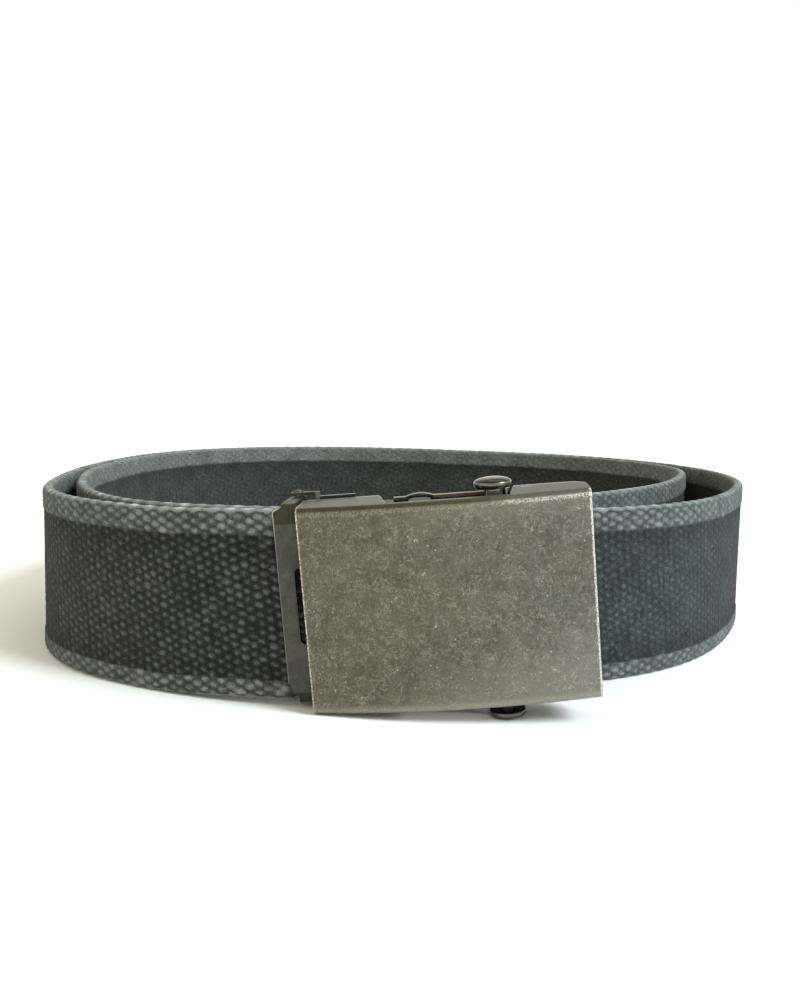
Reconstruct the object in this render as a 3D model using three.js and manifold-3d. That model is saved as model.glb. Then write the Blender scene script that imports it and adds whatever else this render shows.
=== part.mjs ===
// A web belt standing on its edge in two loose turns, with an open plate buckle.
// Millimetres, +Z up. The buckle faces -Y, and the origin is the centre of the footprint.
import * as THREE from 'three';
import { mergeVertices } from 'three/addons/utils/BufferGeometryUtils.js';
import Module from 'manifold-3d';

const wasm = await Module();
wasm.setup();

// Webbing: a cotton strap, thicker along its two edges
const strapWidth = 38;
const bodyThickness = 2.3;
const rimThickness = 2.8;
const edgeThickness = 2.0;
const rimBand = { above: 5.0, below: 4.0 };
const strapSteps = 144;

// Middle line of the coil seen from above: a bearing in degrees from the front of the
// coil, clockwise, and the distance from its centre. The clip end comes first.
const coilCentre = { x: -3.53, y: 3.37 };
const coilRows = [
  { bearing: 6.6, radius: 101.08 },
  { bearing: 9.4, radius: 101.49 },
  { bearing: 12.3, radius: 102.19 },
  { bearing: 19, radius: 102.9 },
  { bearing: 30, radius: 103.2 },
  { bearing: 41, radius: 103.6 },
  { bearing: 52, radius: 100.8 },
  { bearing: 66, radius: 94.0 },
  { bearing: 84, radius: 89.2 },
  { bearing: 106, radius: 90.8 },
  { bearing: 127, radius: 98.6 },
  { bearing: 148, radius: 105.5 },
  { bearing: 168, radius: 105.3 },
  { bearing: 192, radius: 100.6 },
  { bearing: 217, radius: 102.8 },
  { bearing: 242, radius: 101.2 },
  { bearing: 266, radius: 95.8 },
  { bearing: 290, radius: 90.4 },
  { bearing: 312, radius: 90.2 },
  { bearing: 334, radius: 88.6 },
  { bearing: 354, radius: 86.4 },
  { bearing: 376, radius: 90.4 },
  { bearing: 393, radius: 97.2 },
  { bearing: 410, radius: 93.0 },
  { bearing: 427, radius: 87.2 },
  { bearing: 446, radius: 85.2 },
  { bearing: 466, radius: 87.2 },
  { bearing: 487, radius: 95.0 },
  { bearing: 508, radius: 101.9 },
  { bearing: 528, radius: 101.7 },
  { bearing: 552, radius: 97.0 },
  { bearing: 577, radius: 99.1 },
  { bearing: 595, radius: 97.2 },
  { bearing: 609, radius: 92.3 },
  { bearing: 622, radius: 83.2 },
  { bearing: 638, radius: 74.5 },
  { bearing: 658, radius: 68.0 },
  { bearing: 678, radius: 66.6 },
  { bearing: 700, radius: 73.6 },
];

// Where the clip holds the strap: its end is trimmed to a tongue, longer along its upper
// edge because the clip slants, and sits a little higher and leans with the buckle.
// Distances are along the strap from that end.
const tongueWidth = 33.8;
const tongueLength = { above: 10.9, below: 7.5 };
const shoulderLength = 1;
const heldHeight = 20.1;
const heldReach = 42;

// Buckle: its place on the coil and how it tilts, in degrees
const bucklePlace = { x: 9.5, y: -110.9, z: 22.55 };
const buckleTurn = { yaw: -3.05, lean: 1.64, roll: -5.64 };

// Buckle frame, in the buckle's own axes: x along the plate, y to the rear, z up
const plateLength = 55;
const plateHeight = 40;
const plateBowRadius = 134;
const sheet = 0.9;
const bendRadius = 1.5;
const flangeDepth = 14.6;
const lipDepth = 2.6;
const notch = { left: -9.9, rearLeft: -12.8, right: 12.5, rearRight: 13.9 };
const gap = 0.3;

// Guide rails, riveted inside the flanges; they close the notches and reach the hinge
const railSheet = 0.8;
const rail = { left: -20, right: 18.6, front: 10, rear: 15.8 };
const railPad = { left: -9.4, right: 11.4, front: 9.7, rear: 11.3 };
const railRib = { left: -25, right: -17.2, front: 14.9, post: 0.8 };
const railHump = { x: -4.4, width: 5.4, rise: 0.55, hollow: 0.9 };
const railCurl = { x: 12.2, y: 10.7, radius: 0.75, top: 20.2 };
const rivet = { x: 16.2, y: 11.4, shank: 0.8, head: 1.3, rise: 0.6 };

// Clip that holds the strap's end, folded round it and hinged to the rails
const clip = { left: -32.5, step: -30.6, right: -20.6, front: 6.9, slot: 3.2 };
const clipSheet = 0.8;
const clipFold = { top: 17.6, bottom: -16.6 };
const clipLeaf = { top: 20, bottom: -17.2, topCorner: 0.45, lowCorner: 0.9 };
const clipTab = { width: 2.65, top: 20.6, bottom: -18.5, thickness: 0.75 };
const clipRearLeft = -29.2;
const clipWindow = { left: -29.3, right: -24.8, top: 8, bottom: -7, corner: 1 };

// Hinge pins, and the eyes of the two rails they pass through
const hinge = { x: -28.6, y: 16.6, eye: 1.6, shank: 0.7, hole: 1, head: 1.3 };
const topEye = { low: 20.9, high: 21.5, rib: 20.6 };
const lowEye = { low: 18.8, high: 19.4, rib: 19.4 };

// The lock roller with its two heads
const roller = { x: 9.6, y: 7.3, neck: 1.7, body: 2.6, head: 3.6, lowHead: 3.5 };
const rollerTop = 22.95;
const rollerBottom = -23.45;

const nickel = new THREE.MeshStandardMaterial({ color: 0x6e6b60, roughness: 0.5, metalness: 0.9 });
const gunmetal = new THREE.MeshStandardMaterial({ color: 0x46443f, roughness: 0.4, metalness: 0.9 });
const copperSteel = new THREE.MeshStandardMaterial({ color: 0x5c4a3f, roughness: 0.5, metalness: 0.9 });
const cotton = new THREE.MeshStandardMaterial({ color: 0x43494a, roughness: 0.95, metalness: 0 });

function solidOf(geometry) {
  const bare = geometry.clone();
  bare.deleteAttribute('normal');
  bare.deleteAttribute('uv');
  const welded = mergeVertices(bare, 1e-4);
  return new wasm.Manifold(new wasm.Mesh({
    numProp: 3,
    vertProperties: new Float32Array(welded.attributes.position.array),
    triVerts: new Uint32Array(welded.index.array),
  }));
}

function geometryOf(solid) {
  const mesh = solid.getMesh();
  const geometry = new THREE.BufferGeometry();
  geometry.setAttribute('position', new THREE.BufferAttribute(mesh.vertProperties, 3));
  geometry.setIndex(new THREE.BufferAttribute(mesh.triVerts, 1));
  geometry.computeVertexNormals();
  return geometry;
}

function joined(solids) {
  return solids.reduce((whole, next) => whole.add(next));
}

function cut(solid, cutters) {
  return cutters.reduce((rest, cutter) => rest.subtract(cutter), solid);
}

function block(x0, x1, y0, y1, z0, z1) {
  const box = new THREE.BoxGeometry(x1 - x0, y1 - y0, z1 - z0);
  return solidOf(box.translate((x0 + x1) / 2, (y0 + y1) / 2, (z0 + z1) / 2));
}

// A flat outline in the x-y plane, given as a Shape, between two heights
function slab(shape, z0, z1, curveSegments = 6) {
  const flat = new THREE.ExtrudeGeometry(shape, { depth: z1 - z0, bevelEnabled: false, curveSegments });
  return solidOf(flat.translate(0, 0, z0));
}

function polygon(points) {
  return new THREE.Shape(points.map(([x, y]) => new THREE.Vector2(x, y)));
}

function post(x, y, radius, z0, z1, sides = 20) {
  const rod = new THREE.CylinderGeometry(radius, radius, z1 - z0, sides);
  return solidOf(rod.rotateX(Math.PI / 2).translate(x, y, (z0 + z1) / 2));
}

// A turned piece on the z axis; each row is a radius and a height, from low to high
function turned(rows, sides = 24) {
  const profile = rows.map((row) => new THREE.Vector2(row.radius, row.height));
  return new THREE.LatheGeometry(profile, sides).rotateX(Math.PI / 2);
}

function named(name, geometry, material) {
  const mesh = new THREE.Mesh(geometry, material);
  mesh.name = name;
  return mesh;
}

// A closed body through rings of points, each ring a list of Vector3 in the same order
function lofted(rings) {
  const sides = rings[0].length;
  const points = rings.flat();
  const faces = [];
  for (let i = 0; i + 1 < rings.length; i += 1) {
    for (let k = 0; k < sides; k += 1) {
      const a = i * sides + k;
      const b = i * sides + (k + 1) % sides;
      faces.push(a, b, b + sides, a, b + sides, a + sides);
    }
  }
  const flat = rings[0].map((point, k) => ringPlane(rings[0], k));
  const cap = THREE.ShapeUtils.triangulateShape(flat, []);
  const last = (rings.length - 1) * sides;
  const clockwise = THREE.ShapeUtils.isClockWise(flat);
  for (const [a, b, c] of cap) {
    if (clockwise) {
      faces.push(a, b, c, last + a, last + c, last + b);
    } else {
      faces.push(a, c, b, last + a, last + b, last + c);
    }
  }
  const geometry = new THREE.BufferGeometry().setFromPoints(points);
  geometry.setIndex(faces);
  return outward(geometry);
}

// The ring's own flat coordinates: along its widest level direction, and z
function ringPlane(ring, k) {
  const across = ring[Math.floor(ring.length / 2)].clone().sub(ring[0]).setZ(0);
  if (across.length() < 1e-6) {
    across.set(0, 1, 0);
  }
  across.normalize();
  return new THREE.Vector2(ring[k].dot(across), ring[k].z);
}

// Turns every face over if the body's signed volume is negative
function outward(geometry) {
  const at = geometry.attributes.position;
  const index = geometry.index.array;
  const [a, b, c] = [new THREE.Vector3(), new THREE.Vector3(), new THREE.Vector3()];
  let volume = 0;
  for (let i = 0; i < index.length; i += 3) {
    a.fromBufferAttribute(at, index[i]);
    b.fromBufferAttribute(at, index[i + 1]);
    c.fromBufferAttribute(at, index[i + 2]);
    volume += a.dot(b.cross(c));
  }
  if (volume < 0) {
    for (let i = 0; i < index.length; i += 3) {
      [index[i + 1], index[i + 2]] = [index[i + 2], index[i + 1]];
    }
  }
  return geometry;
}

// Natural cubic spline through (key, value) rows: returns a function of the key
function smoothRows(rows, key, value) {
  const x = rows.map((row) => row[key]);
  const y = rows.map((row) => row[value]);
  const n = x.length;
  const bend = new Array(n).fill(0);
  const scale = new Array(n).fill(0);
  for (let i = 1; i < n - 1; i += 1) {
    const before = x[i] - x[i - 1];
    const after = x[i + 1] - x[i];
    const jump = (y[i + 1] - y[i]) / after - (y[i] - y[i - 1]) / before;
    const pivot = 2 * (before + after) - before * scale[i - 1];
    scale[i] = after / pivot;
    bend[i] = (6 * jump - before * bend[i - 1]) / pivot;
  }
  for (let i = n - 2; i > 0; i -= 1) {
    bend[i] -= scale[i] * bend[i + 1];
  }
  return (at) => {
    let i = 0;
    while (i < n - 2 && at > x[i + 1]) {
      i += 1;
    }
    const span = x[i + 1] - x[i];
    const u = (x[i + 1] - at) / span;
    const v = (at - x[i]) / span;
    const curve = (u ** 3 - u) * bend[i] + (v ** 3 - v) * bend[i + 1];
    return u * y[i] + v * y[i + 1] + curve * span ** 2 / 6;
  };
}

function coilLine() {
  const radiusAt = smoothRows(coilRows, 'bearing', 'radius');
  const from = coilRows[0].bearing;
  const to = coilRows[coilRows.length - 1].bearing;
  const points = [];
  for (let i = 0; i <= strapSteps; i += 1) {
    const bearing = from + (to - from) * i / strapSteps;
    const turn = THREE.MathUtils.degToRad(bearing);
    const radius = radiusAt(bearing);
    points.push(new THREE.Vector2(-radius * Math.sin(turn), -radius * Math.cos(turn)));
  }
  return points;
}

// How far the strap reaches above and below its middle, how high its middle is and how it
// leans, at a distance from its clip end
function strapHold(along) {
  const free = THREE.MathUtils.smoothstep(along, tongueLength.above, heldReach);
  const reach = (start) => {
    const shoulder = THREE.MathUtils.smoothstep(along, start, start + shoulderLength);
    return THREE.MathUtils.lerp(tongueWidth, strapWidth, shoulder) / 2;
  };
  return {
    above: reach(tongueLength.above),
    below: reach(tongueLength.below),
    height: THREE.MathUtils.lerp(heldHeight, strapWidth / 2, free),
    lean: THREE.MathUtils.degToRad(buckleTurn.lean) * (1 - free),
  };
}

// One face of the strap's section, from the lower edge up: height and half thickness
function strapFace(above, below) {
  const round = 0.7;
  const ramp = 0.9;
  const rows = (band) => [
    { inset: 0, half: edgeThickness / 2 },
    { inset: round, half: rimThickness / 2 },
    { inset: band, half: rimThickness / 2 },
    { inset: band + ramp, half: bodyThickness / 2 },
  ];
  const low = rows(rimBand.below).map(({ inset, half }) => ({ z: inset - below, half }));
  const high = rows(rimBand.above).map(({ inset, half }) => ({ z: above - inset, half }));
  return [...low, ...high.reverse()];
}

function webbing() {
  const line = coilLine();
  const shoulder = [0, shoulderLength / 2, shoulderLength];
  const starts = [tongueLength.below, tongueLength.above];
  const extra = starts.flatMap((start) => shoulder.map((past) => start + past));
  const stations = [];
  let along = 0;
  line.forEach((point, i) => {
    const next = line[Math.min(i + 1, line.length - 1)];
    const last = line[Math.max(i - 1, 0)];
    const tangent = next.clone().sub(last).normalize();
    stations.push({ along, point, tangent });
    const step = point.distanceTo(next);
    for (const mark of extra) {
      if (mark > along && mark < along + step) {
        const at = point.clone().lerp(next, (mark - along) / step);
        stations.push({ along: mark, point: at, tangent });
      }
    }
    along += step;
  });
  const rings = stations.map(({ along: distance, point, tangent }) => {
    const hold = strapHold(distance);
    const out = new THREE.Vector2(-tangent.y, tangent.x);
    const face = strapFace(hold.above, hold.below);
    const corner = (row, side) => {
      const offset = side * row.half + row.z * Math.tan(hold.lean);
      return new THREE.Vector3(point.x + out.x * offset, point.y + out.y * offset, hold.height + row.z);
    };
    return [...face.map((row) => corner(row, 1)), ...face.map((row) => corner(row, -1)).reverse()];
  });
  return lofted(rings);
}

// Section of the bent face plate at one place along it, from the rear of the top
// flange round the outside and back along the inside
function frameRing(x) {
  const face = plateBowRadius - Math.sqrt(plateBowRadius ** 2 - x ** 2);
  const high = plateHeight / 2;
  const centre = { y: face + bendRadius, z: high - bendRadius };
  const arc = (radius, side) => [0, 30, 60, 90].map((degrees) => {
    const turn = THREE.MathUtils.degToRad(degrees);
    return { y: centre.y - radius * Math.sin(turn), z: side * (centre.z + radius * Math.cos(turn)) };
  });
  const outer = [...arc(bendRadius, 1), ...arc(bendRadius, -1).reverse()];
  const inner = [...arc(bendRadius - sheet, 1), ...arc(bendRadius - sheet, -1).reverse()];
  const rows = [
    { y: flangeDepth, z: high },
    ...outer,
    { y: flangeDepth, z: -high },
    { y: flangeDepth, z: -high + sheet },
    ...inner.reverse(),
    { y: flangeDepth, z: high - sheet },
  ];
  return rows.map((row) => new THREE.Vector3(x, row.y, row.z));
}

function mirrored(solid) {
  return solid.mirror([0, 0, 1]);
}

function buckleFrame() {
  const stations = 12;
  const rings = [];
  for (let i = 0; i <= stations; i += 1) {
    rings.push(frameRing(plateLength * (i / stations - 0.5)));
  }
  const half = plateLength / 2;
  const past = 1;
  const reach = flangeDepth + past;
  const slotOutline = polygon([
    [notch.left, lipDepth],
    [notch.right, lipDepth],
    [notch.rearRight, flangeDepth],
    [notch.rearRight, reach],
    [notch.rearLeft, reach],
    [notch.rearLeft, flangeDepth],
  ]);
  const cornerRadius = 4;
  const rightCorner = new THREE.Shape();
  rightCorner.moveTo(half + past, flangeDepth - cornerRadius);
  rightCorner.lineTo(half, flangeDepth - cornerRadius);
  rightCorner.absarc(half - cornerRadius, flangeDepth - cornerRadius, cornerRadius, 0, Math.PI / 2, false);
  rightCorner.lineTo(half - cornerRadius, reach);
  rightCorner.lineTo(half + past, reach);
  const low = plateHeight / 2 - sheet - gap;
  const high = plateHeight / 2 + past;
  const topCutters = [
    slab(slotOutline, low, high),
    slab(rightCorner, low, high, 5),
    post(rivet.x, rivet.y, rivet.head + gap, low, high),
  ];
  const cutters = [...topCutters, ...topCutters.map(mirrored)];
  return geometryOf(cut(solidOf(lofted(rings)), cutters));
}

// The rail under the top flange: a strip, a pad that fills the notch's rear with a
// hollow hump and a curl at its end, a rib behind the flange, and an eye for the hinge
function railSolid(eye) {
  const top = plateHeight / 2 - sheet - gap;
  const floor = top - railSheet;
  const flush = plateHeight / 2 - 0.1;
  const strip = block(rail.left, rail.right, rail.front, rail.rear, floor, top);
  const pad = block(railPad.left, railPad.right, railPad.front, railPad.rear, floor, flush);
  const rib = block(railRib.left, railRib.right, railRib.front, rail.rear, floor, eye.rib);
  const riser = block(
    railRib.left, railRib.left + railRib.post, railRib.front, rail.rear, floor, eye.high);
  const arm = polygon([
    [railRib.left + railRib.post, railRib.front],
    [railRib.left + railRib.post, rail.rear],
    [hinge.x + 0.6, hinge.y + hinge.eye - 0.1],
    [hinge.x + 0.6, railRib.front + 0.2],
  ]);
  const body = joined([
    strip,
    pad,
    rib,
    riser,
    humpSolid(railHump.rise, railHump.width, flush),
    post(railCurl.x, railCurl.y, railCurl.radius, floor, railCurl.top, 14),
    slab(arm, eye.low, eye.high),
    post(hinge.x, hinge.y, hinge.eye, eye.low, eye.high),
  ]);
  return cut(body, [
    humpSolid(railHump.rise * 0.6, railHump.width * 0.8, flush - railHump.hollow + 0.4),
    block(
      railHump.x - railHump.width * 0.4, railHump.x + railHump.width * 0.4,
      railPad.front - 1, railPad.rear + 1, top + 0.1, flush - railHump.hollow + 0.4),
    post(hinge.x, hinge.y, hinge.hole, eye.low - 1, eye.high + 1),
    post(rivet.x, rivet.y, rivet.shank + gap, floor - 1, top + 1),
  ]);
}

// An arch over the pad, standing on a given height and running from front to rear
function humpSolid(rise, width, foot) {
  const shape = new THREE.Shape();
  shape.moveTo(railHump.x - width / 2, foot - 0.2);
  shape.lineTo(railHump.x + width / 2, foot - 0.2);
  shape.lineTo(railHump.x + width / 2, foot);
  shape.quadraticCurveTo(railHump.x, foot + 2 * rise, railHump.x - width / 2, foot);
  const depth = railPad.rear - railPad.front;
  const arch = new THREE.ExtrudeGeometry(shape, { depth, bevelEnabled: false, curveSegments: 6 });
  return solidOf(arch.rotateX(Math.PI / 2).translate(0, railPad.rear, 0));
}

// A rivet whose upper head lies flush in the flange
function rivetRows() {
  const top = plateHeight / 2 - sheet;
  const floor = top - gap - railSheet - gap;
  return [
    { radius: 0, height: floor - rivet.rise },
    { radius: rivet.head, height: floor - rivet.rise },
    { radius: rivet.head, height: floor },
    { radius: rivet.shank, height: floor },
    { radius: rivet.shank, height: top },
    { radius: rivet.head, height: top },
    { radius: rivet.head, height: top + sheet },
    { radius: 0, height: top + sheet },
  ];
}

// A sheet folded round the strap's end, with a window in its front leaf and a tab at
// the top and the bottom that runs back to the hinge
function strapClip() {
  const middle = clip.front + clipSheet + clip.slot / 2;
  const outer = clip.slot / 2 + clipSheet;
  const fold = new THREE.Shape();
  fold.moveTo(clip.left, middle - outer);
  fold.lineTo(clip.right, middle - outer);
  fold.absarc(clip.right, middle, outer, -Math.PI / 2, Math.PI / 2, false);
  fold.lineTo(clipRearLeft, middle + outer);
  fold.lineTo(clipRearLeft, middle + outer - clipSheet);
  fold.lineTo(clip.right, middle + outer - clipSheet);
  fold.absarc(clip.right, middle, outer - clipSheet, Math.PI / 2, -Math.PI / 2, true);
  fold.lineTo(clip.left, middle - outer + clipSheet);
  const inward = clip.step + clipTab.width;
  const tab = polygon([
    [clip.step, clip.front],
    [inward, clip.front],
    [inward, flangeDepth],
    [hinge.x + hinge.eye, hinge.y],
    [hinge.x - hinge.eye, hinge.y],
    [clip.step, clip.front + clip.slot + 2 * clipSheet],
  ]);
  const tabs = (low, high) => slab(tab, low, high).add(post(hinge.x, hinge.y, hinge.eye, low, high));
  const rear = clip.front + clipSheet;
  const body = joined([
    slab(fold, clipFold.bottom, clipFold.top, 8),
    block(clip.left, inward, clip.front, rear, clipLeaf.bottom, clipLeaf.top),
    block(clip.step, inward, clip.front, rear, clipTab.bottom, clipTab.top),
    tabs(clipTab.top - clipTab.thickness, clipTab.top),
    tabs(clipTab.bottom, clipTab.bottom + clipTab.thickness),
  ]);
  const windowShape = roundedBox(clipWindow);
  const window = new THREE.ExtrudeGeometry(windowShape, {
    depth: clipSheet + 2, bevelEnabled: false, curveSegments: 4,
  });
  window.rotateX(Math.PI / 2).translate(0, rear + 1, 0);
  const { top, bottom, topCorner, lowCorner } = clipLeaf;
  const corners = [
    [[clip.left, top - 2 * topCorner], [clip.left + topCorner, top - topCorner], [clip.step, top]],
    [[clip.left, bottom + 3], [clip.left + lowCorner, bottom + 0.4], [clip.left + 1.3, bottom]],
  ];
  const trims = corners.map((edge) => {
    const past = Math.sign(edge[2][1]);
    const outside = edge[2][1] + past;
    const outline = [...edge, [edge[2][0], outside], [clip.left - 1, outside], [clip.left - 1, edge[0][1]]];
    const shape = new THREE.Shape(outline.map(([x, z]) => new THREE.Vector2(x, z)));
    const trim = new THREE.ExtrudeGeometry(shape, { depth: clipSheet + 2, bevelEnabled: false });
    return solidOf(trim.rotateX(Math.PI / 2).translate(0, rear + 1, 0));
  });
  return geometryOf(cut(body, [
    ...trims,
    solidOf(window),
    post(hinge.x, hinge.y, hinge.hole, clipTab.bottom - 1, clipTab.top + 1),
  ]));
}

function roundedBox({ left, right, top, bottom, corner }) {
  const shape = new THREE.Shape();
  shape.absarc(right - corner, top - corner, corner, 0, Math.PI / 2, false);
  shape.absarc(left + corner, top - corner, corner, Math.PI / 2, Math.PI, false);
  shape.absarc(left + corner, bottom + corner, corner, Math.PI, 1.5 * Math.PI, false);
  shape.absarc(right - corner, bottom + corner, corner, 1.5 * Math.PI, 2 * Math.PI, false);
  return shape;
}

// A hinge pin: a head inside the clip's tab, a shank through tab and eye, a domed end
function hingePinRows(tab, eyeHigh) {
  const inside = tab - clipTab.thickness - gap;
  return [
    { radius: 0, height: inside - 0.6 },
    { radius: hinge.head, height: inside - 0.6 },
    { radius: hinge.head, height: inside },
    { radius: hinge.shank, height: inside },
    { radius: hinge.shank, height: eyeHigh + 0.1 },
    { radius: hinge.shank * 0.7, height: eyeHigh + 0.3 },
    { radius: 0, height: eyeHigh + 0.4 },
  ];
}

function lockRoller() {
  const inside = plateHeight / 2 - sheet - gap - railSheet - gap;
  const rows = [
    { radius: 0, height: rollerBottom },
    { radius: roller.lowHead - 0.3, height: rollerBottom },
    { radius: roller.lowHead, height: rollerBottom + 0.25 },
    { radius: roller.lowHead, height: rollerBottom + 1.3 },
    { radius: roller.neck, height: rollerBottom + 1.3 },
    { radius: roller.neck, height: -inside },
    { radius: roller.body, height: -inside },
    { radius: roller.body, height: inside },
    { radius: roller.neck, height: inside },
    { radius: roller.neck, height: rollerTop - 2.2 },
    { radius: roller.head * 0.78, height: rollerTop - 2.2 },
    { radius: roller.head * 0.97, height: rollerTop - 1.65 },
    { radius: roller.head, height: rollerTop - 1.3 },
    { radius: roller.head * 0.94, height: rollerTop - 0.9 },
    { radius: roller.head * 0.66, height: rollerTop - 0.35 },
    { radius: roller.head * 0.33, height: rollerTop - 0.08 },
    { radius: 0, height: rollerTop },
  ];
  return turned(rows, 28);
}

// A turned piece seen upside down, with its faces still pointing out
function flipped(geometry) {
  return geometry.clone().rotateX(Math.PI);
}

const buckle = new THREE.Group();
buckle.position.set(bucklePlace.x, bucklePlace.y, bucklePlace.z);
buckle.rotation.set(
  THREE.MathUtils.degToRad(buckleTurn.lean),
  THREE.MathUtils.degToRad(buckleTurn.roll),
  THREE.MathUtils.degToRad(buckleTurn.yaw),
  'ZXY',
);

buckle.add(named('buckle_frame', buckleFrame(), nickel));
buckle.add(named('strap_clip', strapClip(), gunmetal));

buckle.add(named('rail_top', geometryOf(railSolid(topEye)), copperSteel));
buckle.add(named('rail_bottom', geometryOf(mirrored(railSolid(lowEye))), copperSteel));

const topRivet = named('rail_rivet_top', turned(rivetRows(), 16), gunmetal);
topRivet.position.set(rivet.x, rivet.y, 0);
buckle.add(topRivet);
const bottomRivet = named('rail_rivet_bottom', flipped(turned(rivetRows(), 16)), gunmetal);
bottomRivet.position.set(rivet.x, rivet.y, 0);
buckle.add(bottomRivet);

const topPin = named('hinge_pin_top', turned(hingePinRows(clipTab.top, topEye.high), 16), gunmetal);
topPin.position.set(hinge.x, hinge.y, 0);
buckle.add(topPin);
const lowPin = flipped(turned(hingePinRows(-clipTab.bottom, lowEye.high), 16));
const bottomPin = named('hinge_pin_bottom', lowPin, gunmetal);
bottomPin.position.set(hinge.x, hinge.y, 0);
buckle.add(bottomPin);

const lock = named('lock_roller', lockRoller(), nickel);
lock.position.set(roller.x, roller.y, 0);
buckle.add(lock);

const belt = new THREE.Group();
belt.position.set(coilCentre.x, coilCentre.y, 0);
belt.add(named('webbing', webbing(), cotton));
belt.add(buckle);

const group = new THREE.Group();
group.add(belt);
export default group;
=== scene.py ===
"""The looks of a cotton web belt with an open plate buckle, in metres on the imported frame."""
import math
from functools import reduce
from types import SimpleNamespace

import bmesh
import bpy
import numpy as np
from mathutils import Matrix, Vector

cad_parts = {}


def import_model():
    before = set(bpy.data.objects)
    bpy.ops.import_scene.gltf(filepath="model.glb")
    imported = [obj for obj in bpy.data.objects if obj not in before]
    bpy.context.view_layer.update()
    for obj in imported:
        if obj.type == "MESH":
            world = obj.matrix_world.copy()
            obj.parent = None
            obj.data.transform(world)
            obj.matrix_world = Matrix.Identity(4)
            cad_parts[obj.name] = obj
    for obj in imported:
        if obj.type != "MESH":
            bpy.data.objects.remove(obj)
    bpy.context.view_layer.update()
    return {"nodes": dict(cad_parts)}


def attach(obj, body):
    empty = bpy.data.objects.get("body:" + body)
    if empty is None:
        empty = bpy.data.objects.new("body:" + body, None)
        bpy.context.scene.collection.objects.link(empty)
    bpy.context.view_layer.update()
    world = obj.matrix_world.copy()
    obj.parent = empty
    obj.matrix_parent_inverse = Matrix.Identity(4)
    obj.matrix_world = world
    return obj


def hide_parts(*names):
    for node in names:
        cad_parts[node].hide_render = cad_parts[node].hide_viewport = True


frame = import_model()

MM = 0.001
scene = bpy.context.scene

# The camera, fitted to the photograph
IMAGE_HEIGHT_PX = 1000
FOCAL_PX = 1093
SENSOR_MM = 36.0
CAMERA_AT_MM = (-3.53, -305.63, 65.0)
CAMERA_DOWN = math.radians(6.5)
CAMERA_ROLL = math.radians(1.15)

# Light: the studio's colours near the horizon and overhead, and the heights on its
# sphere between which they blend
STUDIO_COLOURS = ((1.15, 1.12, 1.0), (0.57, 0.56, 0.45))
STUDIO_HEIGHTS = (0.35, 0.9)
# A key light and a weak warm fill: where each comes from, its strength, its colour and
# its spread in degrees, which softens its shadows
SUNS = [
    ("key", (0.95, -0.5, 0.85), 3.6, (0.88, 1.0, 1.08), 24),
    ("fill", (-0.85, -0.55, 0.5), 0.25, (1.25, 1.0, 0.7), 70),
]
# A small soft light above the belt, in metres and watts
TOP_AT = (0.1, 0.25, 0.9)
TOP_AIM = (0, 0, 0.02)
TOP_SIZE = 0.5
TOP_WATTS = 1.2

# The floor, in metres
FLOOR_COLOUR = (0.9, 0.9, 0.89, 1)
FLOOR_REACH = 12.0

# The strap: sizes in mm, and its middle line seen from above as (bearing, radius), the
# bearing in degrees clockwise from the front. The clip end comes first.
STRAP_WIDTH = 38.0
BODY_HALF = 1.1
RIM_HALF = 1.33
RIM_BAND = 5.0
LOW_RIM_LESS = 1.0
RIM_THICKENS = (13.5, 14.3)
BODY_SHORT = 0.3
RIM_SHORT = 0.1
EDGE_REACH = 1.1
EDGE_EASE = 0.1
COIL_CENTRE = (-3.53, 3.37)
COIL_ROWS = np.array([
    (6.6, 101.08), (9.4, 101.49), (12.3, 102.19), (19, 102.9), (30, 103.2), (41, 103.6),
    (52, 100.8), (66, 94.0), (84, 89.2), (106, 90.8), (127, 98.6), (148, 105.5),
    (168, 105.3), (192, 100.6), (217, 102.8), (242, 101.2), (266, 95.8), (290, 90.4),
    (312, 90.2), (334, 88.6), (354, 86.4), (376, 90.4), (393, 97.2), (410, 93.0),
    (427, 87.2), (446, 85.2), (466, 87.2), (487, 95.0), (508, 101.9), (528, 101.7),
    (552, 97.0), (577, 99.1), (595, 97.2), (609, 92.3), (622, 83.2), (638, 74.5),
    (658, 68.0), (678, 66.6), (700, 73.6),
])
TONGUE_WIDTH = 33.8
TONGUE_ABOVE = 10.9
TONGUE_BELOW = 7.5
SHOULDER_LENGTH = 1.0
HELD_REACH = 42.0
HELD_HEIGHT = 20.1

# Weave, in mm: warp rows across the strap, weft picks along it, and how far the picks
# run askew for each millimetre up the strap
ROW = 0.9
PICK = 1.92
RIM_ROW = 1.0
SLANT = 0.124
SWAY_ALONG = 0.22
SWAY_ACROSS = 0.1
MIDDLE_TONES = (0.3, 0.42)

# The weave's lumps: pitch, half length, half height, and first row of the random fields,
# then their rise and the level between them. Then how far they vary and how they fade.
BODY_LUMPS = (ROW, 0.68, 0.5, 24)
BODY_LEVELS = (0.3, -0.2)
RIM_LUMPS = (RIM_ROW, 0.98, 0.62, 40)
RIM_LEVELS = (0.36, -0.22)
LUMP_SHIFTS = 0.16
LUMP_LIFTS = 0.06
LUMP_SIZES = 0.1
LUMP_TONES = 0.22
LUMP_FALL = 0.7
LUMP_GLOW = 1.3
WEFT_RIDGE = 0.06
WEFT_DROP = 0.1

# Distances from the strap's middle, in mm: where the rim's look starts, the painted shade beside
# it, the rope along each edge, the middle and width of its recess, top and gleam, a painted
# highlight, and the crest, faded and painted with light from above
RIM_SHOWS = (13.8, 14.25)
BESIDE_RIM = (7.5, 13.5)
ROPE_FROM = (18.45, 18.8)
RECESS = (18.4, 0.32)
ROPE_TOP = (19.2, 0.7)
GLEAM = (19.05, 0.45)
CREST_FROM = (18.7, 19.5)
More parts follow.
